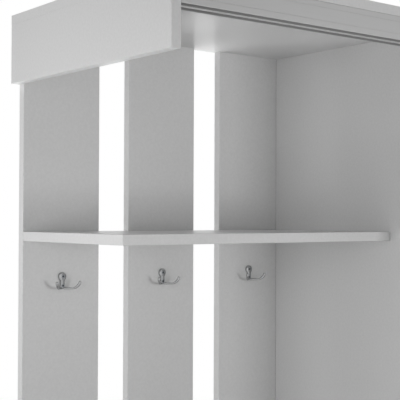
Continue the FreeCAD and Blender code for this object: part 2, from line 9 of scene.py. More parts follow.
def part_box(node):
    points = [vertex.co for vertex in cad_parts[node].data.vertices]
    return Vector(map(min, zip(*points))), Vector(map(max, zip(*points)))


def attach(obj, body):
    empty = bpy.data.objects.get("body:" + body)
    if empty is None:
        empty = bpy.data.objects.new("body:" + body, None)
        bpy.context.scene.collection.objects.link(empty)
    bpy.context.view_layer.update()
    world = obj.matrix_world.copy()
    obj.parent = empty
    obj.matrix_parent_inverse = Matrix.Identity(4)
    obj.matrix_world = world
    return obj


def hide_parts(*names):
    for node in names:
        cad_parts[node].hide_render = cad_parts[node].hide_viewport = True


# Looks of a mudroom locker unit: white laminated boards, chrome coat hooks and two sliding doors.
# Everything is in metres, in the frame of the solids: X to the right, Y to the back, Z up, floor at 0.

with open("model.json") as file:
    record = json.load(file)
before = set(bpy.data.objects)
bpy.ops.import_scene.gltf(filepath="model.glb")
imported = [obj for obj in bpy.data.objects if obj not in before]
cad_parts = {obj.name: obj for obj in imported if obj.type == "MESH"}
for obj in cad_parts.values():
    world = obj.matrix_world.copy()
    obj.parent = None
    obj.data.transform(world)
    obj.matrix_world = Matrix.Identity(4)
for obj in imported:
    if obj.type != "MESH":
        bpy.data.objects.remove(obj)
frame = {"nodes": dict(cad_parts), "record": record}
NODES = frame["nodes"]
SLOT_OF = {part["node"]: part["material_slot"] for part in frame["record"]["subparts"]}
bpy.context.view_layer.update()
MM = 0.001

# Camera, worked out from the board edges in the photograph
IMAGE_PX = 400
FOCAL_PX = 971.948
SENSOR_MM = 36.0
CAMERA_AT = Vector((-1.3568, -1.2643, 1.6600))
CAMERA_YAW_DEG = 37.907
CAMERA_PITCH_DEG = 0.990
CAMERA_ROLL_DEG = -0.201

# Studio
WHITE = (1, 1, 1, 1)
AMBIENT_LEVEL = 0.15
FLOOR_RADIUS = 2.6
FLOOR_FADE_START = 1.0
FLOOR_CLEAR_SHARE = 0.3
FLOOR_SEGMENTS = 96
FLOOR_HEX = "F2F2F0"
FLOOR_ROUGHNESS = 0.8
NICHE_MIDDLE = Vector((-0.3, 0.2, 1.55))
# Softboxes aimed at the middle of the niche: bearing from the front towards the right and elevation
# in degrees, distance, width and height in metres, power in watts and spread in degrees
SOFTBOXES = {
    "key": (12.7, -3.4, 1.82, 0.45, 0.45, 7.6, 180),
    "front_right": (45, 0, 3.0, 1.4, 1.0, 6.5, 180),
    "back_right": (150, -20, 3.0, 1.6, 1.0, 4.8, 60),
    "back_left": (-120, -20, 3.0, 1.6, 1.0, 3.0, 60),
    "floor_back": (180, -50, 1.8, 1.6, 0.8, 5.0, 70),
    "left": (-75, -20, 3.0, 1.4, 1.0, 6.6, 180),
    "far_left": (-90, 0, 3.0, 1.4, 1.0, 5.6, 180),
    "near_left": (-55, 3, 0.95, 0.5, 0.3, 1.25, 180),
    "near_left_high": (-87, 15, 0.95, 0.5, 0.3, 0.95, 180),
    "near_front": (0, 16, 0.75, 0.5, 0.3, 0.29, 180),
    "right_fill": (100, 10, 3.0, 1.6, 1.6, 25.0, 180),
    "above": (56, 83, 3.0, 1.0, 0.5, 4.2, 60),
}
# Grey card seen by reflections alone: bearing, distance, width and height, and brightness
CARD_BEARING_DEG = 36.0
CARD_DISTANCE = 2.5
CARD_SIZE = (1.9, 1.5)
CARD_LEVEL = 0.55

# Patterns of the surfaces, in millimetres from one mark to the next
LAMINATE_PEARL = 4.0
HARDBOARD_PEEL = 5.0
CASTING_MARKS = 6.0
TUBE_LINES = 1.0
TRACK_LINES = 2.0
RUNNER_LINES = 1.5
PULL_RINGS = 1.7
ZINC_CLOUDS = 4.0
PLASTIC_GRAIN = 1.0
NYLON_CLOUDS = 5.0
NYLON_GLOW = 2.0
RUBBER_DUST = 2.0
GLIDE_SCUFFS = 2.0
BEECH_FLECKS = 1.5
# Drawn and extruded lines run along X, where the pattern is squeezed to a share of its scale
TUBE_LINE_SHARE = 0.02
EXTRUSION_LINE_SHARE = 0.01
# A wave texture turns by this many radians over one unit of length
WAVE_RATE = 20.0
# Depth of the lacquer's edge on the track in millimetres, and the grey inside its channels
TRACK_SKIN = 0.6
CHANNEL_HEX = "8C8C8C"
# Painted shade in seams and recesses: reach in millimetres, openness at which it starts, and the share of
# colour left
PAINTED_SHADE_SAMPLES = 8
BOARD_SEAM_PAINTED_SHADE = (1.6, 0.55, 0.1)
CASTING_PAINTED_SHADE = (3.0, 0.7, 0.3)
RECESS_PAINTED_SHADE = (4.0, 0.9, 0.02)

# Rounded edges of the boards and of the small fittings, in millimetres
BOARD_ROUND = 0.8
TOP_ROUND = 0.3
TRACK_ROUND = 1.0
FITTING_ROUND = 0.3
ROUND_STEPS = 2
HARD_EDGE_DEG = 50.0
FLAT_DEG = 0.5
WELD_GAP = 0.002
ON_FACE_GAP = 0.01
# An edge of the outer box lies on two of its faces, so its count of faces is above this
EDGE_FACE_COUNT = 1.5
BOARD_SLOTS = ("white_laminate", "white_hardboard")
# These boards stand between others, and their ends are cut square
UPRIGHT_BOARDS = (
    "partition", "right_side_panel", "slat_left", "slat_middle", "slat_right", "bench_end_panel")
ROUNDED_FITTINGS = ("front_door_pull", "rear_door_pull", "wall_brackets")

# Double coat hooks, in millimetres about a point on the slat, midway between the two screws
HOOK_SCREW_SPACING = 16.0
HOOK_HEAD_R = 7.4
HOOK_SPINE_HALF = 5.1
HOOK_WAIST_DEPTH = 0.3
HOOK_NECK_BLEND = 2.6
HOOK_PLATE_T = 5.5
HOOK_FOOT_H = 6.5
HOOK_FOOT_ROUND = 3.0
HOOK_RIM_ROUND = 1.8
HOOK_FACE_POWER = 0.55
HOOK_LEVELS = 48
HOOK_RING = 40
HOOK_VOXEL = 0.3
HOOK_SMOOTHING = 4
PRONG_ROOT_R = 1.9
PRONG_NECK_R = 1.6
PRONG_TIP_R = 2.5
PRONG_RUN = 13.0
PRONG_BEND_R = 16.0
PRONG_BEND_DEG = 74.0
PRONG_SPLAY_DEG = 46.0
PRONG_ROOT_X = 3.0
PRONG_NECK_SHARE = 0.35
PRONG_SWELL_SHARE = 0.8
PRONG_LEVELS = 40
PRONG_RING = 20

# Cross-head screws of the hooks, in millimetres
SCREW_R = 1.75
SCREW_HEAD_R = 3.1
SCREW_L = 15.0
SCREW_POINT_L = 3.0
SCREW_POINT_SHARE = 0.125
SCREW_SUNK = 0.3
SCREW_SEAT_PLAY = 0.15
CROSS_REACH = 1.9
CROSS_W = 1.4
CROSS_DEPTH = 2.4
CROSS_BORE_R = 1.4
CROSS_END_R = 0.8
SCREW_RING = 40

HEAD_Z = HOOK_SCREW_SPACING / 2
FOOT_Z = -HOOK_SCREW_SPACING / 2
FOOT_END = FOOT_Z - HOOK_FOOT_H
HEAD_TOP = HEAD_Z + HOOK_HEAD_R
PRONG_L = PRONG_RUN + PRONG_BEND_R * math.radians(PRONG_BEND_DEG) + PRONG_TIP_R


def linear(hex_colour):
    """Turn an sRGB hex colour into linear RGBA."""
    parts = [int(hex_colour[i:i + 2], 16) / 255 for i in (0, 2, 4)]
    return [c / 12.92 if c <= 0.04045 else ((c + 0.055) / 1.055) ** 2.4 for c in parts] + [1.0]


def per_metre(size_mm):
    """Texture scale that gives features of a size in millimetres."""
    return 1 / (size_mm * MM)


def add_node(tree, kind, settings, links=()):
    """Add a node, set its inputs or properties by name or number, and link sources to its inputs."""
    node = tree.nodes.new(kind)
    for key, value in settings.items():
        if isinstance(key, int) or key in node.inputs:
            node.inputs[key].default_value = value
        else:
            setattr(node, key, value)
    for source, key in links:
        tree.links.new(source, node.inputs[key])
    return node


# Materials

def new_finish(name):
    """A material with its shader, and the coordinates of the object itself."""
    material = bpy.data.materials.new(name)
    material.use_nodes = True
    tree = material.node_tree
    tree.nodes.clear()
    shader = add_node(tree, "ShaderNodeBsdfPrincipled", {})
    add_node(tree, "ShaderNodeOutputMaterial", {}, [(shader.outputs["BSDF"], "Surface")])
    place = add_node(tree, "ShaderNodeTexCoord", {}).outputs["Object"]
    return material, tree, shader, place


def vary(tree, shader, pattern, dark, light, smooth, rough):
    """Let one pattern carry a colour between two hex values, and a roughness between two numbers."""
    tone = add_node(tree, "ShaderNodeMix", {"data_type": "RGBA", "A": linear(dark), "B": linear(light)},
                    [(pattern, "Factor")])
    tree.links.new(tone.outputs["Result"], shader.inputs["Base Color"])
    gloss = add_node(tree, "ShaderNodeMapRange", {"To Min": smooth, "To Max": rough}, [(pattern, "Value")])
    tree.links.new(gloss.outputs["Result"], shader.inputs["Roughness"])


def paint_seam_shade(tree, shader, reach_mm, start, darkest):
    """Paint shade into the colour in seams and recesses: the less open the surroundings, the darker the
    colour.
    """
    open_sky = add_node(tree, "ShaderNodeAmbientOcclusion",
                        {"samples": PAINTED_SHADE_SAMPLES, "Distance": reach_mm * MM})
    depth = add_node(tree, "ShaderNodeMapRange", {"From Max": start, "To Min": darkest},
                     [(open_sky.outputs["AO"], "Value")])
    base = shader.inputs["Base Color"].links[0].from_socket
    tone = add_node(tree, "ShaderNodeMix", {"data_type": "RGBA", "blend_type": "MULTIPLY", "Factor": 1.0},
                    [(base, "A"), (depth.outputs["Result"], "B")])
    tree.links.new(tone.outputs["Result"], shader.inputs["Base Color"])


def emboss(tree, shader, pattern, depth_mm, strength):
    """Let a pattern raise and sink the surface by a depth in millimetres."""
    bump = add_node(tree, "ShaderNodeBump", {"Strength": strength, "Distance": depth_mm * MM},
                    [(pattern, "Height")])
    tree.links.new(bump.outputs["Normal"], shader.inputs["Normal"])


def white_laminate():
    """Melamine paper pressed on chipboard by a pearl plate: even white, satin, mirror-like at a low angle."""
    material, tree, shader, place = new_finish("white_laminate")
    # The real pearl is under a millimetre, drawn coarser so that it shows
    pearl = add_node(tree, "ShaderNodeTexNoise", {"Scale": per_metre(LAMINATE_PEARL), "Detail": 2.0},
                     [(place, "Vector")]).outputs["Fac"]
    vary(tree, shader, pearl, dark="D0D0D0", light="DCDCDC", smooth=0.28, rough=0.31)
    # Painted shade: the colour darkens in the seams, grooves and inner corners between boards
    paint_seam_shade(tree, shader, *BOARD_SEAM_PAINTED_SHADE)
    emboss(tree, shader, pearl, depth_mm=0.02, strength=0.5)
    shader.inputs["IOR"].default_value = 1.5
    return material


def white_hardboard():
    """Hardboard rolled with white lacquer: flatter than the laminate, with a soft roller peel."""
    material, tree, shader, place = new_finish("white_hardboard")
    peel = add_node(tree, "ShaderNodeTexNoise", {"Scale": per_metre(HARDBOARD_PEEL), "Detail": 2.0},
                    [(place, "Vector")]).outputs["Fac"]
    vary(tree, shader, peel, dark="CCCCCA", light="D2D2D0", smooth=0.46, rough=0.56)
    emboss(tree, shader, peel, depth_mm=0.05, strength=0.4)
    return material


def chrome_casting():
    """Zinc casting, polished and chromed: a cool mirror with faint handling marks."""
    material, tree, shader, place = new_finish("chrome_casting")
    marks = add_node(tree, "ShaderNodeTexNoise", {"Scale": per_metre(CASTING_MARKS), "Detail": 4.0},
                     [(place, "Vector")]).outputs["Fac"]
    vary(tree, shader, marks, dark="A7A8A9", light="AEAFB0", smooth=0.08, rough=0.16)
    # Painted shade: the colour darkens where the casting meets the slat, round its prongs and in its
    # countersinks
    paint_seam_shade(tree, shader, *CASTING_PAINTED_SHADE)
    shader.inputs["Metallic"].default_value = 1.0
    return material


def chrome_tube():
    """Drawn steel tube, chromed: a mirror with fine polishing lines along its length."""
    material, tree, shader, place = new_finish("chrome_tube")
    stretch = add_node(tree, "ShaderNodeMapping", {"Scale": (TUBE_LINE_SHARE, 1, 1)}, [(place, "Vector")])
    lines = add_node(tree, "ShaderNodeTexNoise", {"Scale": per_metre(TUBE_LINES), "Detail": 3.0},
                     [(stretch.outputs["Vector"], "Vector")]).outputs["Fac"]
    vary(tree, shader, lines, dark="BEBFC1", light="C8C9CB", smooth=0.06, rough=0.15)
    emboss(tree, shader, lines, depth_mm=0.01, strength=0.3)
    shader.inputs["Metallic"].default_value = 1.0
    return material


def lacquered_track():
    """Extruded aluminium lacquered white outside, with a dull grey coat left inside the channels."""
    material, tree, shader, place = new_finish("lacquered_track")
    stretch = add_node(tree, "ShaderNodeMapping", {"Scale": (EXTRUSION_LINE_SHARE, 1, 1)},
                       [(place, "Vector")])
    # The extrusion lines are finer on the real track, drawn coarser so that they show
    lines = add_node(tree, "ShaderNodeTexNoise", {"Scale": per_metre(TRACK_LINES), "Detail": 2.0},
                     [(stretch.outputs["Vector"], "Vector")]).outputs["Fac"]
    track_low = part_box("top_track")[0]
    lip_back = track_low.y + TRACK_SKIN * MM
    foot_top = track_low.z + TRACK_SKIN * MM
    axes = add_node(tree, "ShaderNodeSeparateXYZ", {}, [(place, "Vector")])
    behind_lip = add_node(tree, "ShaderNodeMath", {"operation": "GREATER_THAN", 1: lip_back},
                          [(axes.outputs["Y"], 0)])
    above_foot = add_node(tree, "ShaderNodeMath", {"operation": "GREATER_THAN", 1: foot_top},
                          [(axes.outputs["Z"], 0)])
    inside = add_node(tree, "ShaderNodeMath", {"operation": "MULTIPLY"},
                      [(behind_lip.outputs[0], 0), (above_foot.outputs[0], 1)])
    vary(tree, shader, lines, dark="C2C2C2", light="C6C6C6", smooth=0.36, rough=0.44)
    outer = shader.inputs["Base Color"].links[0].from_socket
    tone = add_node(tree, "ShaderNodeMix", {"data_type": "RGBA", "B": linear(CHANNEL_HEX)},
                    [(inside.outputs[0], "Factor"), (outer, "A")])
    tree.links.new(tone.outputs["Result"], shader.inputs["Base Color"])
    # Painted shade: the colour darkens in the track's grooves, channels and the seam under the top board
    paint_seam_shade(tree, shader, *BOARD_SEAM_PAINTED_SHADE)
    emboss(tree, shader, lines, depth_mm=0.02, strength=0.3)
    return material


def anodised_runner():
    """Extruded aluminium, natural anodised: a soft grey metal with long extrusion lines."""
    material, tree, shader, place = new_finish("anodised_runner")
    stretch = add_node(tree, "ShaderNodeMapping", {"Scale": (EXTRUSION_LINE_SHARE, 1, 1)},
                       [(place, "Vector")])
    lines = add_node(tree, "ShaderNodeTexNoise", {"Scale": per_metre(RUNNER_LINES), "Detail": 3.0},
                     [(stretch.outputs["Vector"], "Vector")]).outputs["Fac"]
    vary(tree, shader, lines, dark="B4B6B8", light="C2C4C6", smooth=0.34, rough=0.46)
    emboss(tree, shader, lines, depth_mm=0.02, strength=0.4)
    shader.inputs["Metallic"].default_value = 1.0
    return material


def satin_pull():
    """Turned aluminium, satin anodised: fine rings left by the tool around the cup."""
    material, tree, shader, _ = new_finish("satin_pull")
    # The box of each pull runs from 0 to 1, so its middle is the axis of the rings
    box = add_node(tree, "ShaderNodeTexCoord", {}).outputs["Generated"]
    centred = add_node(tree, "ShaderNodeVectorMath", {"operation": "SUBTRACT", 1: (0.5, 0.5, 0.5)},
                       [(box, 0)])
    flat = add_node(tree, "ShaderNodeVectorMath", {"operation": "MULTIPLY", 1: (1, 0, 1)},
                    [(centred.outputs["Vector"], 0)])
    pull_low, pull_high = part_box("front_door_pull")
    ring_share = PULL_RINGS * MM / (pull_high.x - pull_low.x)
    rings = add_node(tree, "ShaderNodeTexWave", {
        "wave_type": "RINGS", "rings_direction": "SPHERICAL", "Scale": 2 * math.pi / (WAVE_RATE * ring_share),
        "Distortion": 1.5, "Detail": 3.0}, [(flat.outputs["Vector"], "Vector")]).outputs["Fac"]
    vary(tree, shader, rings, dark="ABADAF", light="BEC0C2", smooth=0.28, rough=0.4)
    emboss(tree, shader, rings, depth_mm=0.02, strength=0.4)
    shader.inputs["Metallic"].default_value = 1.0
    return material


def zinc_steel():
    """Zinc-plated steel: a bluish grey metal with a cloudy, fine-grained plating."""
    material, tree, shader, place = new_finish("zinc_steel")
    cloud = add_node(tree, "ShaderNodeTexNoise", {"Scale": per_metre(ZINC_CLOUDS), "Detail": 5.0},
                     [(place, "Vector")]).outputs["Fac"]
    vary(tree, shader, cloud, dark="9A9EA3", light="B2B6BB", smooth=0.3, rough=0.48)
    # Painted shade: the colour darkens nearly to black in the cross recess and round the sunk head
    paint_seam_shade(tree, shader, *RECESS_PAINTED_SHADE)
    emboss(tree, shader, cloud, depth_mm=0.03, strength=0.3)
    shader.inputs["Metallic"].default_value = 1.0
    return material


def white_plastic():
    """Moulded polypropylene in white, with a spark-eroded matt grain."""
    material, tree, shader, place = new_finish("white_plastic")
    grain = add_node(tree, "ShaderNodeTexNoise", {"Scale": per_metre(PLASTIC_GRAIN), "Detail": 2.0},
                     [(place, "Vector")]).outputs["Fac"]
    vary(tree, shader, grain, dark="CFCFCD", light="D5D5D3", smooth=0.4, rough=0.52)
    emboss(tree, shader, grain, depth_mm=0.03, strength=0.4)
    return material


def nylon_roller():
    """Natural nylon, moulded: milky, with a little light passing through it."""
    material, tree, shader, place = new_finish("nylon_roller")
    milk = add_node(tree, "ShaderNodeTexNoise", {"Scale": per_metre(NYLON_CLOUDS), "Detail": 3.0},
                    [(place, "Vector")]).outputs["Fac"]
    vary(tree, shader, milk, dark="D0CEC4", light="DAD8D0", smooth=0.36, rough=0.48)
    shader.inputs["Subsurface Weight"].default_value = 0.15
    shader.inputs["Subsurface Scale"].default_value = NYLON_GLOW * MM
    return material


def grey_rubber():
    """Moulded rubber: dark, matt and slightly dusty."""
    material, tree, shader, place = new_finish("grey_rubber")
    dust = add_node(tree, "ShaderNodeTexNoise", {"Scale": per_metre(RUBBER_DUST), "Detail": 4.0},
                    [(place, "Vector")]).outputs["Fac"]
    vary(tree, shader, dust, dark="444446", light="585859", smooth=0.7, rough=0.85)
    emboss(tree, shader, dust, depth_mm=0.05, strength=0.4)
    return material


def black_glide():
    """Black polyethylene, turned: waxy and scuffed where it meets the floor."""
    material, tree, shader, place = new_finish("black_glide")
    scuff = add_node(tree, "ShaderNodeTexNoise", {"Scale": per_metre(GLIDE_SCUFFS), "Detail": 4.0},
                     [(place, "Vector")]).outputs["Fac"]
    vary(tree, shader, scuff, dark="18181A", light="2C2C2E", smooth=0.4, rough=0.65)
    emboss(tree, shader, scuff, depth_mm=0.04, strength=0.4)
    return material


def beech_dowel():
    """Fluted beech: pale reddish wood with short dark flecks."""
    material, tree, shader, place = new_finish("beech_dowel")
    flecks = add_node(tree, "ShaderNodeTexNoise", {
        "Scale": per_metre(BEECH_FLECKS), "Detail": 4.0, "Distortion": 0.8},
        [(place, "Vector")]).outputs["Fac"]
    vary(tree, shader, flecks, dark="B28354", light="D0A678", smooth=0.55, rough=0.7)
    emboss(tree, shader, flecks, depth_mm=0.05, strength=0.5)
    return material


FINISHES = (
    white_laminate, white_hardboard, chrome_casting, chrome_tube, lacquered_track, anodised_runner,
    satin_pull, zinc_steel, white_plastic, nylon_roller, grey_rubber, black_glide, beech_dowel)


# Solids that stay as they are, with rounded edges

def mark_outer_edges(name, along):
    """Geometry nodes that shade a board flat and weight the outer edges along some axes, to be rounded."""
    group = bpy.data.node_groups.new(name, "GeometryNodeTree")
    for way in ("INPUT", "OUTPUT"):
        group.interface.new_socket("Geometry", in_out=way, socket_type="NodeSocketGeometry")
    board = add_node(group, "NodeGroupInput", {})
    plain = add_node(group, "GeometryNodeRemoveAttribute", {"Name": "custom_normal"},
                     [(board.outputs["Geometry"], "Geometry")])
    flat = add_node(group, "GeometryNodeSetShadeSmooth", {"Shade Smooth": False},
                    [(plain.outputs["Geometry"], "Geometry")])
    box = add_node(group, "GeometryNodeBoundBox", {}, [(flat.outputs["Geometry"], "Geometry")])
    ends = add_node(group, "GeometryNodeInputMeshEdgeVertices", {})
    reach = []
    for corner in ("Min", "Max"):
        away = []
        for end in ("Position 1", "Position 2"):
            gap = add_node(group, "ShaderNodeVectorMath", {"operation": "SUBTRACT"},
                           [(ends.outputs[end], 0), (box.outputs[corner], 1)])
            gap = add_node(group, "ShaderNodeVectorMath", {"operation": "ABSOLUTE"},
                           [(gap.outputs["Vector"], 0)])
            away.append((gap.outputs["Vector"], len(away)))
        far = add_node(group, "ShaderNodeVectorMath", {"operation": "MAXIMUM"}, away)
        reach.append((far.outputs["Vector"], len(reach)))
    nearest = add_node(group, "ShaderNodeVectorMath", {"operation": "MINIMUM"}, reach)
    axes = add_node(group, "ShaderNodeSeparateXYZ", {}, [(nearest.outputs["Vector"], "Vector")])
    on_faces = [add_node(group, "ShaderNodeMath", {"operation": "LESS_THAN", 1: ON_FACE_GAP * MM},
                         [(axes.outputs[axis], 0)]).outputs[0] for axis in ("X", "Y", "Z")]
    faces = on_faces[0]
    for on_face in on_faces[1:]:
        faces = add_node(group, "ShaderNodeMath", {"operation": "ADD"}, [(faces, 0), (on_face, 1)]).outputs[0]
    outer = add_node(group, "ShaderNodeMath", {"operation": "GREATER_THAN", 1: EDGE_FACE_COUNT}, [(faces, 0)])
    run = add_node(group, "ShaderNodeVectorMath", {"operation": "SUBTRACT"},
                   [(ends.outputs["Position 1"], 0), (ends.outputs["Position 2"], 1)])
    wanted = add_node(group, "ShaderNodeVectorMath", {"operation": "MULTIPLY", 1: along},
                      [(run.outputs["Vector"], 0)])
    length = add_node(group, "ShaderNodeVectorMath", {"operation": "LENGTH"}, [(wanted.outputs["Vector"], 0)])
    runs = add_node(group, "ShaderNodeMath", {"operation": "GREATER_THAN", 1: ON_FACE_GAP * MM},
                    [(length.outputs["Value"], 0)])
    weight = add_node(group, "ShaderNodeMath", {"operation": "MULTIPLY"},
                      [(outer.outputs[0], 0), (runs.outputs[0], 1)])
    marked = add_node(group, "GeometryNodeStoreNamedAttribute", {
        "data_type": "FLOAT", "domain": "EDGE", "Name": "bevel_weight_edge"},
        [(flat.outputs["Geometry"], "Geometry"), (weight.outputs[0], "Value")])
    add_node(group, "NodeGroupOutput", {}, [(marked.outputs["Geometry"], "Geometry")])
    return group


def weld(node):
    """Join the points that the faces of a solid share."""
    node.modifiers.new("weld", "WELD").merge_threshold = WELD_GAP * MM


def add_round(node, radius, limit):
    """Round the edges that a limit chooses."""
    bevel = node.modifiers.new("edge_round", "BEVEL")
    bevel.width = radius * MM
    bevel.segments = ROUND_STEPS
    bevel.limit_method = limit
    return bevel


def round_board(node, group, radius):
    """Join the triangles of each flat face, then round the edges that the group marks."""
    weld(node)
    flat_faces = node.modifiers.new("flat_faces", "DECIMATE")
    flat_faces.decimate_type = "DISSOLVE"
    flat_faces.angle_limit = math.radians(FLAT_DEG)
    node.modifiers.new("outer_edges", "NODES").node_group = group
    add_round(node, radius, "WEIGHT")


def round_fitting(node):
    """Round all hard edges of a small fitting."""
    weld(node)
    add_round(node, FITTING_ROUND, "ANGLE").angle_limit = math.radians(HARD_EDGE_DEG)


def dress_solids(finishes):
    """Give each solid its finish, and the boards, track and small fittings their rounded edges."""
    all_edges = mark_outer_edges("all_outer_edges", (1, 1, 1))
    upright_edges = mark_outer_edges("upright_outer_edges", (0, 0, 1))
    long_edges = mark_outer_edges("long_outer_edges", (1, 0, 0))
    for name, node in NODES.items():
        node.data.materials.clear()
        node.data.materials.append(finishes[SLOT_OF[name]])
        if name == "top_track":
            round_board(node, long_edges, TRACK_ROUND)
        elif name == "top_board":
            round_board(node, all_edges, TOP_ROUND)
        elif SLOT_OF[name] in BOARD_SLOTS:
            round_board(node, upright_edges if name in UPRIGHT_BOARDS else all_edges, BOARD_ROUND)
        elif name in ROUNDED_FITTINGS:
            round_fitting(node)


# Double coat hooks

def skin(made, rings):
    """Skin a row of closed rings of points into one closed shell."""
    levels = [[made.verts.new(point) for point in ring] for ring in rings]
    for low_ring, high_ring in zip(levels, levels[1:]):
        for i in range(len(low_ring)):
            j = (i + 1) % len(low_ring)
            made.faces.new((low_ring[i], low_ring[j], high_ring[j], high_ring[i]))
    made.faces.new(reversed(levels[0]))
    made.faces.new(levels[-1])


def new_piece(name, made):
    """An object of the made mesh, with all its faces turned outwards."""
    bmesh.ops.recalc_face_normals(made, faces=made.faces)
    mesh = bpy.data.meshes.new(name)
    made.to_mesh(mesh)
    made.free()
    piece = bpy.data.objects.new(name, mesh)
    bpy.context.scene.collection.objects.link(piece)
    return piece


def settle(piece):
    """The mesh of a piece with its modifiers applied. The piece itself goes."""
    graph = bpy.context.evaluated_depsgraph_get()
    mesh = bpy.data.meshes.new_from_object(piece.evaluated_get(graph))
    bpy.data.objects.remove(piece)
    return mesh


def plate_half_width(z):
    """Half width of the hook plate at a height: a round head, a waisted spine and a rounded foot."""
    below_head = HEAD_Z - z
    head = math.sqrt(max(HOOK_HEAD_R ** 2 - below_head ** 2, 0))
    if below_head <= 0:
        return head
    spine = HOOK_SPINE_HALF - HOOK_WAIST_DEPTH * max(0, 1 - (z / HEAD_Z) ** 2)
    foot_gap = z - FOOT_END
    if foot_gap < HOOK_FOOT_ROUND:
        spine -= HOOK_FOOT_ROUND - math.sqrt(HOOK_FOOT_ROUND ** 2 - (HOOK_FOOT_ROUND - foot_gap) ** 2)
    blend = HOOK_NECK_BLEND * min(1, below_head / HOOK_HEAD_R)
    return (head + spine + math.sqrt((head - spine) ** 2 + blend ** 2)) / 2 - blend / 2 * (head < spine)


def plate_thickness(z):
    """Thickness of the hook plate at a height, drawn in round its rim."""
    rim_gap = min(z - FOOT_END, HEAD_TOP - z)
    if rim_gap >= HOOK_RIM_ROUND:
        return HOOK_PLATE_T
    return HOOK_PLATE_T * math.sqrt(1 - (1 - rim_gap / HOOK_RIM_ROUND) ** 2)


def plate_rings():
    """Level rings of the hook plate, closer together at its foot and head."""
    rings = []
    for i in range(1, HOOK_LEVELS):
        z = FOOT_END + (HEAD_TOP - FOOT_END) * (1 - math.cos(math.pi * i / HOOK_LEVELS)) / 2
        half = plate_half_width(z)
        thickness = plate_thickness(z)
        ring = []
        for j in range(HOOK_RING):
            turn = math.pi * j / (HOOK_RING - 1)
            across = math.copysign(abs(math.cos(turn)) ** HOOK_FACE_POWER, math.cos(turn))
            ring.append((half * across, -thickness * abs(math.sin(turn)) ** HOOK_FACE_POWER, z))
        rings.append(ring)
    return rings


def smooth_step(value):
    """A rise from 0 to 1 that starts and ends level."""
    value = min(max(value, 0), 1)
    return value * value * (3 - 2 * value)


def prong_radius(share):
    """Radius along a prong: a drawn-in neck that swells to a rounded tip."""
    neck = PRONG_ROOT_R + (PRONG_NECK_R - PRONG_ROOT_R) * smooth_step(share / PRONG_NECK_SHARE)
    swell = smooth_step((share - PRONG_NECK_SHARE) / (PRONG_SWELL_SHARE - PRONG_NECK_SHARE))
    radius = neck + (PRONG_TIP_R - neck) * swell
    tip_start = 1 - PRONG_TIP_R / PRONG_L
    if share > tip_start:
        radius *= math.sqrt(max(1 - ((share - tip_start) / (1 - tip_start)) ** 2, 0))
    return radius


def prong_rings(side):
    """A prong runs straight out of the foot, then bends upwards in a splayed upright plane."""
    splay = math.radians(PRONG_SPLAY_DEG)
    out = Vector((side * math.cos(splay), -math.sin(splay), 0))
    up = Vector((0, 0, 1))
    sideways = out.cross(up)
    root = Vector((side * PRONG_ROOT_X, PRONG_ROOT_R - HOOK_PLATE_T, FOOT_END + PRONG_ROOT_R))
    turns = [2 * math.pi * j / PRONG_RING for j in range(PRONG_RING)]
    rings = []
    for i in range(PRONG_LEVELS):
        share = i / PRONG_LEVELS
        run = min(share * PRONG_L, PRONG_RUN)
        bend = (share * PRONG_L - run) / PRONG_BEND_R
        rise = 1 - math.cos(bend)
        centre = root + out * (run + PRONG_BEND_R * math.sin(bend)) + up * (PRONG_BEND_R * rise)
        inward = up * math.cos(bend) - out * math.sin(bend)
        radius = prong_radius(share)
        rings.append([centre + (sideways * math.cos(t) + inward * math.sin(t)) * radius for t in turns])
    return rings


def turned_rings(profile):
    """Rings about the Y axis from pairs of depth and radius."""
    turns = [2 * math.pi * j / SCREW_RING for j in range(SCREW_RING)]
    return [[Vector((math.cos(t) * radius, depth, math.sin(t) * radius)) for t in turns]
            for depth, radius in profile]


def moved(rings, by):
    """The same rings, shifted."""
    return [[point + by for point in ring] for ring in rings]


def screw_spots():
    """Centres of the two screw heads on the face of the plate."""
    return [Vector((0, -HOOK_PLATE_T, z)) for z in (HEAD_Z, FOOT_Z)]


def hook_mesh():
    """One cast hook: plate and prongs grown together, with two countersunk holes."""
    made = bmesh.new()
    skin(made, plate_rings())
    for side in (-1, 1):
        skin(made, prong_rings(side))
    casting = new_piece("casting", made)
    grow = casting.modifiers.new("grow_together", "REMESH")
    grow.mode = "VOXEL"
    grow.voxel_size = HOOK_VOXEL
    soften = casting.modifiers.new("soften", "SMOOTH")
    soften.iterations = HOOK_SMOOTHING
    head = SCREW_HEAD_R + SCREW_SEAT_PLAY
    shank = SCREW_R + SCREW_SEAT_PLAY
    seat_end = SCREW_SUNK + head - shank
    seat = [(-HOOK_PLATE_T, head), (SCREW_SUNK, head), (seat_end, shank), (2 * HOOK_PLATE_T, shank)]
    made = bmesh.new()
    for spot in screw_spots():
        skin(made, moved(turned_rings(seat), spot))
    cutter = new_piece("countersinks", made)
    cut = casting.modifiers.new("countersinks", "BOOLEAN")
    cut.operation = "DIFFERENCE"
    cut.object = cutter
    mesh = settle(casting)
    bpy.data.objects.remove(cutter)
    return mesh


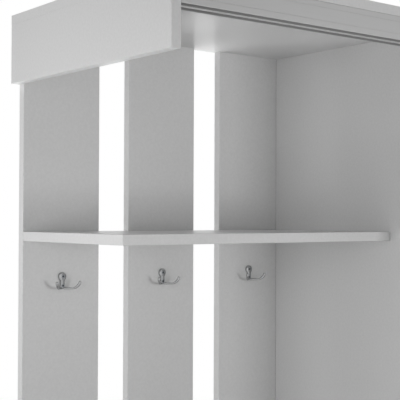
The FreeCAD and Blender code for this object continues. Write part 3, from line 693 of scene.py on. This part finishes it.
def screw_mesh():
    """One countersunk screw with a cross recess, its head face at the origin and its shank along +Y."""
    made = bmesh.new()
    skin(made, turned_rings([
        (0, SCREW_HEAD_R), (SCREW_HEAD_R - SCREW_R, SCREW_R), (SCREW_L - SCREW_POINT_L, SCREW_R),
        (SCREW_L, SCREW_R * SCREW_POINT_SHARE)]))
    screw = new_piece("screw", made)
    made = bmesh.new()
    for reach_x, reach_z in ((CROSS_REACH, CROSS_W / 2), (CROSS_W / 2, CROSS_REACH)):
        # A cube of side 2 reaches 1 each way, so its scale is its reach
        arm = bmesh.ops.create_cube(made, size=2.0)["verts"]
        bmesh.ops.scale(made, verts=arm, vec=(reach_x, CROSS_DEPTH, reach_z))
    skin(made, turned_rings([
        (-CROSS_DEPTH, CROSS_BORE_R), (0, CROSS_BORE_R), (CROSS_DEPTH + CROSS_END_R, CROSS_END_R)]))
    cross = new_piece("cross", made)
    cut = screw.modifiers.new("cross", "BOOLEAN")
    cut.operation = "DIFFERENCE"
    cut.use_self = True
    cut.object = cross
    mesh = settle(screw)
    bpy.data.objects.remove(cross)
    return mesh


def place_of_hook(node_name):
    """The point on the slat midway between the screws of a hook."""
    low_corner, high_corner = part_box(node_name)
    return Vector(((low_corner.x + high_corner.x) / 2, high_corner.y, high_corner.z - HEAD_TOP * MM))


def add_copies(name, mesh, places, finish):
    """One piece made of copies of a mesh in millimetres, each at its place in metres."""
    made = bmesh.new()
    for place in places:
        copy = mesh.copy()
        copy.transform(Matrix.Translation(place) @ Matrix.Scale(MM, 4))
        made.from_mesh(copy)
        bpy.data.meshes.remove(copy)
    for face in made.faces:
        face.smooth = True
    piece = new_piece(name, made)
    piece.data.set_sharp_from_angle(angle=math.radians(HARD_EDGE_DEG))
    piece.data.materials.append(finish)
    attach(piece, "carcass")
    return piece


def add_hooks(finishes):
    """Three cast hooks and their six screws, in place of the plain ones."""
    casting = hook_mesh()
    screw = screw_mesh()
    sunk = Vector((0, SCREW_SUNK, 0))
    spots = []
    for side in ("left", "middle", "right"):
        node_name = "coat_hook_" + side
        place = place_of_hook(node_name)
        hook = add_copies("double_hook_" + side, casting, [place], finishes["chrome_casting"])
        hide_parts(node_name)
        spots += [place + (spot + sunk) * MM for spot in screw_spots()]
    screws = add_copies("cross_head_screws", screw, spots, finishes["zinc_steel"])
    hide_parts("hook_screws")
    bpy.data.meshes.remove(casting)
    bpy.data.meshes.remove(screw)


# Studio

def add_camera():
    """The photograph's camera, from its place, its three angles and its focal length."""
    yaw = math.radians(CAMERA_YAW_DEG)
    pitch = math.radians(CAMERA_PITCH_DEG)
    roll = math.radians(CAMERA_ROLL_DEG)
    forward = Vector((math.sin(yaw) * math.cos(pitch), math.cos(yaw) * math.cos(pitch), math.sin(pitch)))
    level = Vector((math.cos(yaw), -math.sin(yaw), 0))
    upright = level.cross(forward)
    right = math.cos(roll) * level - math.sin(roll) * upright
    up = math.sin(roll) * level + math.cos(roll) * upright
    data = bpy.data.cameras.new("camera")
    data.sensor_width = SENSOR_MM
    data.lens = FOCAL_PX / IMAGE_PX * SENSOR_MM
    camera = bpy.data.objects.new("camera", data)
    bpy.context.scene.collection.objects.link(camera)
    turn = Matrix((right, up, -forward)).transposed()
    camera.matrix_world = Matrix.Translation(CAMERA_AT) @ turn.to_4x4()
    bpy.context.scene.camera = camera


def add_world():
    """White to the camera and in reflections, and a softer level on the surfaces."""
    world = bpy.data.worlds.new("studio")
    bpy.context.scene.world = world
    world.use_nodes = True
    tree = world.node_tree
    tree.nodes.clear()
    path = add_node(tree, "ShaderNodeLightPath", {})
    seen = add_node(tree, "ShaderNodeMath", {"operation": "ADD"},
                    [(path.outputs["Is Camera Ray"], 0), (path.outputs["Is Glossy Ray"], 1)])
    seen = add_node(tree, "ShaderNodeMath", {"operation": "ADD", "use_clamp": True},
                    [(seen.outputs[0], 0), (path.outputs["Is Transmission Ray"], 1)])
    level = add_node(tree, "ShaderNodeMapRange", {"To Min": AMBIENT_LEVEL, "To Max": 1.0},
                     [(seen.outputs[0], "Value")])
    light = add_node(tree, "ShaderNodeBackground", {"Color": WHITE}, [(level.outputs["Result"], "Strength")])
    add_node(tree, "ShaderNodeOutputWorld", {}, [(light.outputs[0], "Surface")])


def add_floor():
    """A pale round floor that fades into the white surround."""
    made = bmesh.new()
    bmesh.ops.create_circle(made, cap_ends=True, radius=FLOOR_RADIUS, segments=FLOOR_SEGMENTS)
    floor = new_piece("floor", made)
    material, tree, shader, place = new_finish("pale_floor")
    shader.inputs["Base Color"].default_value = linear(FLOOR_HEX)
    shader.inputs["Roughness"].default_value = FLOOR_ROUGHNESS
    away = add_node(tree, "ShaderNodeVectorMath", {"operation": "LENGTH"}, [(place, 0)])
    fade = add_node(tree, "ShaderNodeMapRange", {
        "interpolation_type": "SMOOTHSTEP", "From Min": FLOOR_FADE_START, "From Max": FLOOR_RADIUS,
        "To Min": FLOOR_CLEAR_SHARE}, [(away.outputs["Value"], "Value")])
    clear = add_node(tree, "ShaderNodeBsdfTransparent", {})
    mix = add_node(tree, "ShaderNodeMixShader", {},
                   [(fade.outputs["Result"], 0), (shader.outputs["BSDF"], 1), (clear.outputs["BSDF"], 2)])
    output = next(node for node in tree.nodes if node.type == "OUTPUT_MATERIAL")
    tree.links.new(mix.outputs["Shader"], output.inputs["Surface"])
    floor.data.materials.append(material)


def around_niche(bearing_deg, elevation_deg, distance):
    """A place seen from the middle of the niche at a bearing, from the front towards the right."""
    bearing = math.radians(bearing_deg)
    elevation = math.radians(elevation_deg)
    level = Vector((math.sin(bearing), -math.cos(bearing), 0)) * math.cos(elevation)
    return NICHE_MIDDLE + (level + Vector((0, 0, math.sin(elevation)))) * distance


def face_niche(piece, at):
    """Put a lamp or card at a place and turn it to the middle of the niche."""
    piece.location = at
    piece.rotation_euler = (NICHE_MIDDLE - at).to_track_quat("-Z", "Y").to_euler()


def add_softbox(name, bearing_deg, elevation_deg, distance, width, height, power, spread_deg):
    """A soft rectangular lamp that lights the surfaces without showing in them."""
    data = bpy.data.lights.new(name, "AREA")
    data.shape = "RECTANGLE"
    data.size = width
    data.size_y = height
    data.energy = power
    data.spread = math.radians(spread_deg)
    lamp = bpy.data.objects.new(name, data)
    bpy.context.scene.collection.objects.link(lamp)
    face_niche(lamp, around_niche(bearing_deg, elevation_deg, distance))
    lamp.visible_camera = False
    lamp.visible_glossy = False


def add_grey_card():
    """A card that only reflections see, so that the flat faces of the chrome are grey and not white."""
    made = bmesh.new()
    # The grid reaches half a metre each way, so its scale is its size
    bmesh.ops.create_grid(made, x_segments=1, y_segments=1, size=0.5)
    card = new_piece("grey_card", made)
    face_niche(card, around_niche(CARD_BEARING_DEG, 0, CARD_DISTANCE))
    card.scale = (*CARD_SIZE, 1)
    material = bpy.data.materials.new("grey_card")
    material.use_nodes = True
    tree = material.node_tree
    tree.nodes.clear()
    glow = add_node(tree, "ShaderNodeEmission", {"Strength": CARD_LEVEL})
    add_node(tree, "ShaderNodeOutputMaterial", {}, [(glow.outputs["Emission"], "Surface")])
    card.data.materials.append(material)
    card.visible_camera = False
    card.visible_diffuse = False
    card.visible_transmission = False
    card.visible_shadow = False


made_finishes = {finish.__name__: finish() for finish in FINISHES}
dress_solids(made_finishes)
add_hooks(made_finishes)
add_camera()
add_world()
add_floor()
add_grey_card()
for softbox, setting in SOFTBOXES.items():
    add_softbox(softbox, *setting)

bpy.context.scene.view_settings.view_transform = "Standard"
